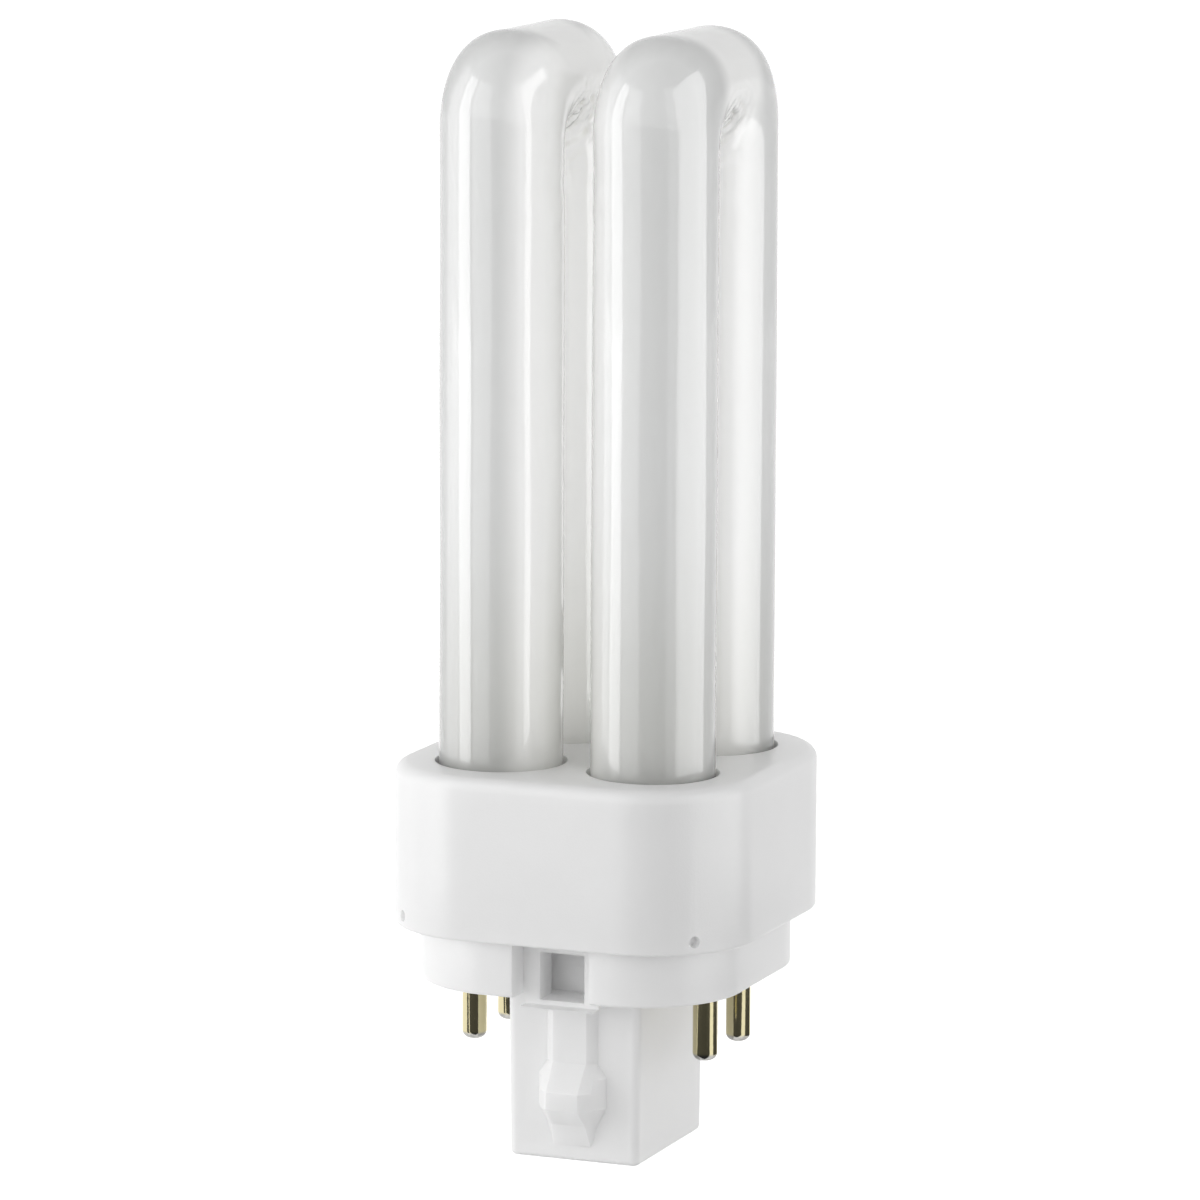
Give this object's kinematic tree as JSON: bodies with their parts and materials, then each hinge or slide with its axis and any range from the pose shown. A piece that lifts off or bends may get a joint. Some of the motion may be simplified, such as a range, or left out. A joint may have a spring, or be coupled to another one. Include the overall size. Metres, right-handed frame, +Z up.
{
  "type": "four pin compact fluorescent lamp",
  "caption": "Short plug-in fluorescent lamp: opal glass tubes with squared bends, in a square white base with a centre post, snap ribs and brass contact pins.",
  "frame": {"origin": "middle of the flat lower end of the centre post", "axes": "+Z up along the lamp from the base to the glass bends; the ribs of the post face -Y and +Y; the pins stand in two rows at -X and +X"},
  "size_m": [0.0346, 0.0346, 0.104],
  "materials": {
    "opal_glass": "opal white, glossy",
    "housing_plastic": "satin white",
    "cap_plastic": "satin white",
    "cement": "rough",
    "pin_brass": "polished",
    "lead_wire": "drawn wire"
  },
  "bodies": {
    "root": {"discharge_tube": "opal_glass", "base_housing": "housing_plastic", "base_cap": "cap_plastic", "leg_cement": "cement", "contact_pin_1": "pin_brass", "contact_pin_2": "pin_brass", "contact_pin_3": "pin_brass", "contact_pin_4": "pin_brass", "lead_wire_1": "lead_wire", "lead_wire_2": "lead_wire", "lead_wire_3": "lead_wire", "lead_wire_4": "lead_wire"}
  },
  "joints": []
}
